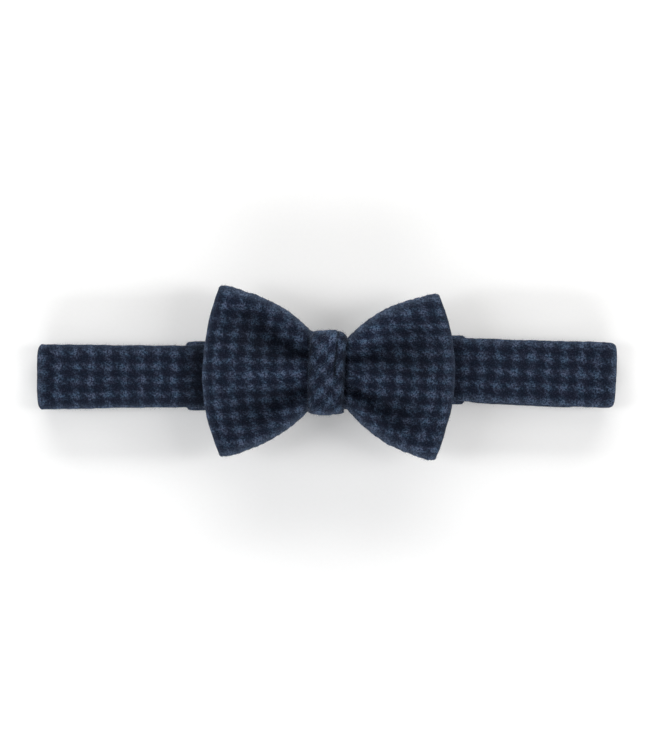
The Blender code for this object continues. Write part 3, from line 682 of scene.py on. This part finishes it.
class Nodes:
    """A short way to write a node tree."""

    def __init__(self, name):
        self.material = bpy.data.materials.new(name)
        self.material.use_nodes = True
        self.tree = self.material.node_tree
        self.shader = self.tree.nodes["Principled BSDF"]

    def add(self, kind, **settings):
        node = self.tree.nodes.new(kind)
        for key, value in settings.items():
            setattr(node, key, value)
        return node

    def wire(self, value, socket):
        if isinstance(value, bpy.types.NodeSocket):
            self.tree.links.new(value, socket)
        else:
            socket.default_value = value

    def here(self):
        return self.add("ShaderNodeTexCoord").outputs["Object"]

    def split(self, where):
        node = self.add("ShaderNodeSeparateXYZ")
        self.wire(where, node.inputs[0])
        return node.outputs[0], node.outputs[1]

    def set(self, name, value):
        self.wire(value, self.shader.inputs[name])

    def math(self, operation, a, b=0.0, clamp=False):
        node = self.add("ShaderNodeMath", operation=operation, use_clamp=clamp)
        for value, socket in zip((a, b), node.inputs):
            self.wire(value, socket)
        return node.outputs[0]

    def plus(self, a, b):
        return self.math("ADD", a, b)

    def minus(self, a, b):
        return self.math("SUBTRACT", a, b)

    def times(self, a, b, clamp=False):
        return self.math("MULTIPLY", a, b, clamp)

    def vector(self, operation, a, other, value):
        node = self.add("ShaderNodeVectorMath", operation=operation)
        self.wire(a, node.inputs[0])
        self.wire(value, node.inputs[other])
        return node.outputs[0]

    def noise(self, where, scale, detail=2.0, roughness=0.5, colour=False):
        node = self.add("ShaderNodeTexNoise")
        self.wire(where, node.inputs["Vector"])
        node.inputs["Scale"].default_value = scale
        node.inputs["Detail"].default_value = detail
        node.inputs["Roughness"].default_value = roughness
        return node.outputs["Color" if colour else "Fac"]

    def ramp(self, value, low, high, to_low=0.0, to_high=1.0):
        node = self.add("ShaderNodeMapRange", interpolation_type="SMOOTHSTEP")
        for v, socket in zip((value, low, high, to_low, to_high), node.inputs):
            self.wire(v, socket)
        return node.outputs[0]

    def mix(self, share, a, b):
        node = self.add("ShaderNodeMix", data_type="RGBA")
        self.wire(share, node.inputs["Factor"])
        for value, socket in zip((a, b), MIX_COLOURS):
            self.wire((*value, 1) if isinstance(value, tuple) else value, node.inputs[socket])
        return node.outputs[2]

    def stretch(self, where, x, y, turn=0.0):
        node = self.add("ShaderNodeMapping")
        self.wire(where, node.inputs["Vector"])
        node.inputs["Scale"].default_value = (x, y, 1.0)
        node.inputs["Rotation"].default_value = (0, 0, turn)
        return node.outputs[0]

    def bump(self, height, strength, distance, under=None):
        node = self.add("ShaderNodeBump")
        node.inputs["Strength"].default_value = strength
        node.inputs["Distance"].default_value = distance
        self.wire(height, node.inputs["Height"])
        if under is not None:
            self.wire(under, node.inputs["Normal"])
        return node.outputs[0]


DARK_YARN, DARK_YARN_2 = (0.0028, 0.0052, 0.0138), (0.0042, 0.0056, 0.0146)
LIGHT_YARN, LIGHT_YARN_2 = (0.050, 0.086, 0.146), (0.066, 0.087, 0.146)
FIBRE = (0.20, 0.25, 0.34)
# the rim colour: partly the raised nap's own paler fibres, partly a painted highlight
PAINTED_RIM_HIGHLIGHT = (0.090, 0.122, 0.185)


def wool(name, shift=(0.0, 0.0), vivid=1.0):
    """Brushed houndstooth wool. The cloth coordinates are in millimetres along and across the strip, and
    vivid is how strongly its pale yarns show."""
    n = Nodes(name)
    uv = n.add("ShaderNodeUVMap", uv_map="cloth").outputs[0]
    drift = n.noise(uv, 1.1, 3.0, 0.6, colour=True)
    sway = n.noise(uv, 0.22, 1.0, 0.5, colour=True)
    moved = uv
    for source, amount in ((drift, 1.8), (sway, 2.2)):
        centred = n.vector("SUBTRACT", source, 1, (0.5, 0.5, 0.5))
        moved = n.vector("ADD", moved, 1, n.vector("SCALE", centred, "Scale", amount))
    x, y = n.split(moved)
    i = n.times(n.plus(x, shift[0]), THREADS / CHECK_X)
    j = n.times(n.plus(y, shift[1]), THREADS / CHECK_Y)

    def first_half(value, period):
        return n.math("LESS_THAN", n.math("FLOORED_MODULO", value, period), period / 2)

    # the weave as it is: which yarn is on top at each thread, and whether it is a light one
    warp, weft = n.math("FLOOR", i), n.math("FLOOR", j)
    warp_light, weft_light = first_half(warp, THREADS), first_half(weft, THREADS)
    warp_up = first_half(n.plus(n.plus(warp, weft), 2.0), 4.0)
    weft_up = n.minus(1.0, warp_up)
    crisp = n.plus(n.times(warp_up, warp_light), n.times(weft_up, weft_light))

    # the same check as the nap blurs it
    def wave(value, centre, period, hardness):
        angle = n.times(n.minus(value, centre), 2 * math.pi / period)
        return n.ramp(n.math("COSINE", angle), -hardness, hardness)

    warp_soft, weft_soft = (wave(yarn, 2.0, THREADS, 1.15) for yarn in (i, j))
    up_soft = wave(n.plus(i, j), 3.5, 4.0, 4.0)
    soft = n.plus(n.times(up_soft, warp_soft), n.times(n.minus(1.0, up_soft), weft_soft))
    soft = n.math("POWER", soft, 2.2)

    # flecks: the melange of pale and dark fibres in the yarn
    fleck = n.ramp(n.noise(uv, 1.6, 2.0, 0.7), 0.38, 0.64)
    patch = n.ramp(n.noise(uv, 0.36, 2.0, 0.6), 0.3, 0.7, 0.45, 1.40)
    mixed = n.plus(n.times(soft, 0.76), n.times(crisp, 0.11))
    share = n.times(mixed, n.times(n.plus(n.times(fleck, 1.5), 0.08), patch))
    pepper = n.ramp(n.noise(uv, 1.9, 1.0, 0.6), 0.46, 0.66)
    share = n.times(n.plus(share, n.times(pepper, 0.18)), vivid, clamp=True)

    tint = n.ramp(n.noise(n.stretch(uv, 0.5, 1.0), 0.55, 2.0, 0.6), 0.38, 0.62)
    dark, pale = n.mix(tint, DARK_YARN, DARK_YARN_2), n.mix(tint, LIGHT_YARN, LIGHT_YARN_2)
    colour = n.mix(share, dark, pale)
    # loose fibres lie over the weave in every direction
    fibres = None
    for turn in (0.5, -0.7, 1.5):
        line = n.ramp(n.noise(n.stretch(uv, 0.9, 5.0, turn), 1.4, 2.0, 0.6), 0.58, 0.74)
        fibres = line if fibres is None else n.math("MAXIMUM", fibres, line)
    fibre_share = n.times(fibres, n.plus(0.04, n.times(share, 0.45)))
    colour = n.mix(fibre_share, colour, FIBRE)
    # along the edges and folds, where the nap stands up, a paler rim colour is mixed in: partly the raised
    # nap's own paler fibres, partly a painted highlight for the light that the edges catch
    nap_and_rim_highlight = n.add("ShaderNodeAttribute", attribute_name="nap").outputs["Fac"]
    nap_and_rim_highlight = n.times(nap_and_rim_highlight, n.plus(0.35, n.times(fleck, 0.75)))
    colour = n.mix(n.times(nap_and_rim_highlight, n.plus(0.42, n.times(share, 0.3))), colour, PAINTED_RIM_HIGHLIGHT)
    # painted shade: the colour is darkened in the pleats, beside the wings and over the knot's edges and
    # crease, and painted paler, as light, where the painted shade is below 0
    painted_darkening = n.add("ShaderNodeAttribute", attribute_name="painted_shade").outputs["Fac"]
    n.set("Base Color", n.vector("SCALE", colour, "Scale", n.minus(1.0, painted_darkening)))

    # relief: the round backs of the yarns, then the nap over them
    def yarn_back(coordinate):
        part = n.minus(n.math("FRACT", coordinate), 0.5)
        return n.minus(1.0, n.times(n.times(part, part), 4.0))

    weave = n.plus(n.times(warp_up, yarn_back(i)), n.times(weft_up, yarn_back(j)))
    nap = n.plus(n.noise(uv, 2.4, 4.0, 0.7), n.times(fibres, 0.3))
    n.set("Normal", n.bump(nap, 0.8, 0.0006, n.bump(weave, 0.4, 0.00012)))
    n.set("Roughness", n.ramp(nap, 0.3, 0.8, 0.86, 0.98))
    n.set("Specular IOR Level", 0.05)
    n.set("Sheen Weight", 0.03)
    n.set("Sheen Roughness", 0.5)
    n.set("Sheen Tint", (0.55, 0.65, 0.85, 1))
    return n.material


def woven(name, warp_colour, weft_colour, pitch, relief_mm, rough=0.85):
    """Plain weave at a pitch in millimetres, for canvas, tape and label."""
    n = Nodes(name)
    at = n.here()
    size = 1 / (pitch * MM)
    x, y = n.split(at)
    i, j = n.times(x, size), n.times(y, size)
    odd = n.math("FLOORED_MODULO", n.plus(n.math("FLOOR", i), n.math("FLOOR", j)), 2.0)
    wave_i = n.math("ABSOLUTE", n.math("SINE", n.times(i, math.pi)))
    wave_j = n.math("ABSOLUTE", n.math("SINE", n.times(j, math.pi)))
    height = n.plus(n.times(odd, wave_i), n.times(n.minus(1.0, odd), wave_j))
    fluff = n.noise(at, size * 1.7, 3.0, 0.6)
    base = n.mix(odd, warp_colour, weft_colour)
    # painted shade: the weave is painted darker where its yarns dip, between them
    painted_shade = n.times(n.plus(height, fluff), 0.45, clamp=True)
    n.set("Base Color", n.mix(painted_shade, tuple(0.45 * c for c in warp_colour), base))
    n.set("Normal", n.bump(n.plus(height, n.times(fluff, 0.5)), 0.8, relief_mm * MM))
    n.set("Roughness", n.ramp(fluff, 0.3, 0.7, rough - 0.08, rough + 0.06))
    n.set("Specular IOR Level", 0.3)
    return n.material


def pile_tape(name, colour, pitch, softness):
    """Nylon tape with its pile: stiff hooks in rows, or soft loops where softness is high."""
    n = Nodes(name)
    at = n.here()
    cells = n.add("ShaderNodeTexVoronoi", feature="F1")
    n.wire(at, cells.inputs["Vector"])
    cells.inputs["Scale"].default_value = 1 / (pitch * MM)
    cells.inputs["Randomness"].default_value = 0.25 + 0.75 * softness
    tuft = n.ramp(cells.outputs["Distance"], 0.15, 0.60, 1.0, 0.0)
    fluff = n.noise(at, 1.8 / (pitch * MM), 3.0, 0.7)
    height = n.plus(n.times(tuft, 1 - 0.6 * softness), n.times(fluff, 0.2 + softness))
    # painted shade and light: the pile is painted darker low between its tufts and paler on their tops
    dark, pale = tuple(0.35 * c for c in colour), tuple(1.6 * c for c in colour)
    n.set("Base Color", n.mix(n.times(height, 0.8, clamp=True), dark, pale))
    n.set("Normal", n.bump(height, 0.9, 0.35 * MM))
    n.set("Roughness", n.ramp(fluff, 0.3, 0.7, 0.55, 0.75))
    n.set("Specular IOR Level", 0.10)
    n.set("Sheen Weight", 0.04 * softness)
    return n.material


def thread_finish(name, colour):
    """Twisted sewing thread."""
    n = Nodes(name)
    at = n.here()
    strands = n.noise(n.stretch(at, 1.0, 2.5, 0.6), 5200.0, 2.0, 0.5)
    dark, pale = tuple(0.6 * c for c in colour), tuple(1.5 * c for c in colour)
    # painted shade and light on the twist: paler on its raised strands, darker between them
    n.set("Base Color", n.mix(n.ramp(strands, 0.35, 0.65), dark, pale))
    n.set("Normal", n.bump(strands, 0.7, 0.00006))
    n.set("Roughness", n.ramp(strands, 0.3, 0.7, 0.5, 0.7))
    return n.material


def fibre_finish(name):
    """Single wool fibres, navy to pale blue."""
    n = Nodes(name)
    at = n.here()
    mixture = n.noise(at, 900.0, 2.0, 0.7)
    n.set("Base Color", n.mix(n.ramp(mixture, 0.4, 0.65), (0.035, 0.050, 0.085), (0.16, 0.20, 0.28)))
    n.set("Roughness", n.ramp(mixture, 0.3, 0.7, 0.75, 0.95))
    n.set("Normal", n.bump(n.noise(at, 9000.0), 0.3, 0.00001))
    n.set("Sheen Weight", 0.2)
    return n.material


def paper(name):
    """The plain pale ground under the tie."""
    n = Nodes(name)
    at = n.here()
    grain = n.noise(at, 900.0, 3.0, 0.6)
    n.set("Base Color", n.mix(grain, (0.90, 0.90, 0.90), (0.93, 0.93, 0.93)))
    n.set("Roughness", 0.9)
    return n.material


# ---- assembly

def build_neckband(finishes):
    """The neckband's cloth, as the three strips that move apart and the two folds at the hinges."""
    wool_cloth = finishes["band"]
    drift_along, drift_up = BAND_DRIFT
    made = {}
    x = spaced(LEFT_HINGE_X + END_GAP, RIGHT_HINGE_X - END_GAP, 0.8)
    front = np.stack([x, soft_middle(x), front_z(x)], -1)
    drifted = ease(x / 40 + 0.5)
    # the band's front is painted darker beside the wings, as their shadow
    made["front"] = strip("front_band_wool", front, band_width(x), np.full(len(x), BAND_THICK), wool_cloth,
                          x - drift_along * drifted, seed=1.0, across_shift=-drift_up * drifted,
                          painted_shade=np.interp(x, WING_SHADOW_X, WING_SHADOW_SHADE))
    for side, hinge_x, name in ((-1, LEFT_HINGE_X, "left"), (1, RIGHT_HINGE_X, "right")):
        slant = math.atan(RIGHT_SLOPE) if side > 0 else 0.0
        outward = np.array([side * math.cos(slant), side * math.sin(slant), 0.0])
        angle = np.linspace(math.pi / 2, -math.pi / 2, 26)
        spin = outward * np.cos(angle)[:, None] + np.array([0.0, 0.0, 1.0]) * np.sin(angle)[:, None]
        centre = np.array([hinge_x, float(soft_middle(np.array(hinge_x))), FOLD_Z])
        path = centre + spin * FOLD_RADIUS + outward * FOLD_REACH[side] * np.cos(angle)[:, None] ** 2
        path = np.concatenate([path[:1] - outward * TUCK, path, path[-1:] - outward * TUCK])
        angle, spin = np.pad(angle, 1, mode="edge"), np.pad(spin, ((1, 1), (0, 0)), mode="edge")
        run = running_length(path) - TUCK
        beyond = (FOLD_RADIUS + BAND_THICK / 2) * (1 - np.cos(angle))
        width = rounded_tip(band_width(np.full(len(path), hinge_x)), beyond, FOLD_CORNER)
        thick = np.full(len(path), BAND_THICK)
        for end in (0, -1):
            width[end] -= END_GAP
            thick[end] -= END_GAP
        along = hinge_x + side * run - drift_along * (side > 0)
        made[name + "_fold"] = strip(name + "_fold_wool", path, width, thick, wool_cloth, along, seed=1.0,
                                     normals=spin, end_nap=0.6 * edge_nap(beyond),
                                     across_shift=-drift_up * (side > 0))
    turn_length = math.pi * FOLD_RADIUS
    rounding = np.sin(np.linspace(0, 1.55, 9)[1:])
    tip_start = LEFT_TIP_X - TIP_CORNER
    x = np.concatenate([spaced(LEFT_HINGE_X + END_GAP, tip_start, 0.9), tip_start + TIP_CORNER * rounding])
    path = np.stack([x, soft_middle(x) - band_y(x) + LEFT_Y, left_back_z(x)], -1)
    width = rounded_tip(band_width(np.minimum(x, -50)), LEFT_TIP_X - x, TIP_CORNER)
    made["left_back"] = strip("left_back_wool", path, width, np.full(len(x), BAND_THICK - 0.1), wool_cloth,
                              LEFT_HINGE_X - turn_length - running_length(path), seed=1.0)
    strap = spaced(RIGHT_HINGE_X - END_GAP, TAB_RIGHT_X + SHOULDER, 0.9)
    shoulder = np.linspace(TAB_RIGHT_X + SHOULDER, TAB_RIGHT_X - SHOULDER, 10)[1:]
    tab = spaced(TAB_RIGHT_X - SHOULDER, TAB_LEFT_X + TAB_CORNER, 0.9)[1:]
    tip = TAB_LEFT_X + TAB_CORNER - TAB_CORNER * rounding
    x = np.concatenate([strap, shoulder, tab, tip])
    path = np.stack([x, right_back_y(x), np.full(len(x), BAND_THICK / 2 + 0.02)], -1)
    widen = ease((TAB_RIGHT_X + SHOULDER - x) / (2 * SHOULDER))
    width = band_width(np.maximum(x, 50)) * (1 - widen) + TAB_WIDTH * widen
    width = rounded_tip(width, x - TAB_LEFT_X, TAB_CORNER)
    made["right_back"] = strip("right_back_wool", path, width, np.full(len(x), BAND_THICK - 0.05), wool_cloth,
                               RIGHT_HINGE_X + turn_length + running_length(path) - drift_along, seed=2.0,
                               across_shift=-drift_up)
    return made


# A tent of soft light round the table, low enough to rake the cloth, with little from overhead: the name,
# place, size, power and colour of each panel, in metres and watts.
LIGHTS = (
    ("above", (0.0, 1.0, 0.33), (1.6, 0.42), 17.8, (1.0, 0.995, 0.98)),
    ("below", (0.0, -1.0, 0.33), (1.6, 0.42), 14.2, (0.99, 0.995, 1.0)),
    ("left", (-1.0, 0.0, 0.30), (0.36, 1.6), 9.8, (0.98, 0.99, 1.0)),
    ("right", (1.0, 0.0, 0.30), (0.36, 1.6), 9.8, (1.0, 0.99, 0.98)),
)
ROOM_LIGHT = 0.15
VIEW_TALL = 0.2588                  # metres that the view's height spans at its middle
VIEW_MIDDLE = (-0.0003, -0.0008, 0.010)


def light(name, place, size, power, colour):
    """A soft panel facing the tie."""
    lamp = bpy.data.lights.new(name, "AREA")
    lamp.shape = "RECTANGLE"
    lamp.size, lamp.size_y = size
    lamp.energy = power
    lamp.color = colour
    holder = add_object(name, lamp)
    holder.location = place
    holder.rotation_euler = (Vector((0, 0, 0)) - Vector(place)).to_track_quat("-Z", "Y").to_euler()


def set_stage():
    """Floor, soft light and the camera straight above."""
    scene = bpy.context.scene
    scene.view_settings.view_transform = "Standard"
    bpy.ops.mesh.primitive_plane_add(size=6, location=(0, 0, -0.0002))
    floor = bpy.context.object
    floor.name = "floor"
    floor.data.materials.append(paper("pale_ground"))
    world = bpy.data.worlds.new("soft_room")
    world.use_nodes = True
    sky = world.node_tree.nodes["Background"]
    sky.inputs["Color"].default_value = (1, 1, 1, 1)
    sky.inputs["Strength"].default_value = ROOM_LIGHT
    scene.world = world
    for panel in LIGHTS:
        light(*panel)
    lens = bpy.data.cameras.new("camera")
    lens.lens = 180
    lens.sensor_width = 36
    lens.clip_start = 0.01
    camera = add_object("camera", lens)
    x, y, z = VIEW_MIDDLE
    camera.location = (x, y, VIEW_TALL * lens.lens / lens.sensor_width + z)
    scene.camera = camera


def main():
    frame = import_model()
    finishes = {
        "band": wool("band_wool", (2.53, 2.56), 0.88),
        "bow": wool("bow_wool_cloth", (1.43, 0.14), 0.98),
        "knot": wool("knot_wool_cloth", (1.43, 0.14), 1.25),
        "canvas": woven("canvas", (0.55, 0.52, 0.45), (0.50, 0.47, 0.40), 0.45, 0.08),
        "hooks": pile_tape("hook_pile", (0.014, 0.019, 0.042), 1.3, 0.0),
        "loops": pile_tape("loop_pile", (0.012, 0.017, 0.038), 0.9, 0.9),
        "label": woven("label_weave", (0.80, 0.79, 0.76), (0.74, 0.73, 0.70), 0.22, 0.03, 0.6),
        "thread": thread_finish("navy_thread", (0.012, 0.016, 0.035)),
    }
    bow, core = build_bow(finishes["bow"], finishes["canvas"])
    knot, knot_core = build_knot(finishes["knot"], finishes["canvas"])
    band = build_neckband(finishes)

    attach(bow, "bow")
    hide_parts("bow_cloth")
    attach(core, "bow")
    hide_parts("bow_interlining")
    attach(knot, "bow")
    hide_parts("knot_wrap")
    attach(knot_core, "bow")
    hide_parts("knot_interlining")
    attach(band["front"], "front_band")
    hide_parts("front_band_cloth")
    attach(band["left_back"], "left_half")
    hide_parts("left_back_cloth")
    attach(band["right_back"], "right_half")
    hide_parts("right_back_cloth")
    for name, half, hinge_x in (("left", "left_half", LEFT_HINGE_X), ("right", "right_half", RIGHT_HINGE_X)):
        fold = band[name + "_fold"]
        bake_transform(fold)
        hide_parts(name + "_fold")

    # no fibres where the knot slides, or where the band's lengths meet at the hinges
    def off_hinges(x):
        return (x < LEFT_HINGE_X + BARE_BY_HINGE) | (x > RIGHT_HINGE_X - BARE_BY_HINGE)

    fibres = fibre_finish("wool_fibres")
    hairy = [
        (bow, "bow", 5200, lambda x, y, z: z < BACK_MID_Z - 2 * CLOTH_HALF),
        (knot, "bow", 1100, lambda x, y, z: z < KNOT_LOW_Z + 3),
        (band["front"], "front_band", 1700, lambda x, y, z: (np.abs(x) < 30) | off_hinges(x)),
        (band["left_back"], "left_half", 1200, lambda x, y, z: (x > -30) | off_hinges(x)),
        (band["right_back"], "right_half", 1700, lambda x, y, z: (z < 0.3) | off_hinges(x)),
    ]
    for number, (piece, body, count, bare) in enumerate(hairy):
        hairs = fuzz(piece.name + "_nap", piece, count, fibres, 100 + number, bare)
        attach(hairs, body)

    looks = {
        "canvas": ("front_band_interlining", "left_back_interlining", "right_back_interlining"),
        "hooks": ("hook_tape",),
        "loops": ("loop_tape",),
        "label": ("size_label",),
        "thread": ("hook_tape_seam", "loop_tape_seam", "back_seam_stitches", "gathering_thread",
                   "knot_closing_stitches"),
    }
    for finish, nodes in looks.items():
        for node in nodes:
            for slot in frame["nodes"][node].material_slots:
                slot.material = finishes[finish]
    set_stage()


main()
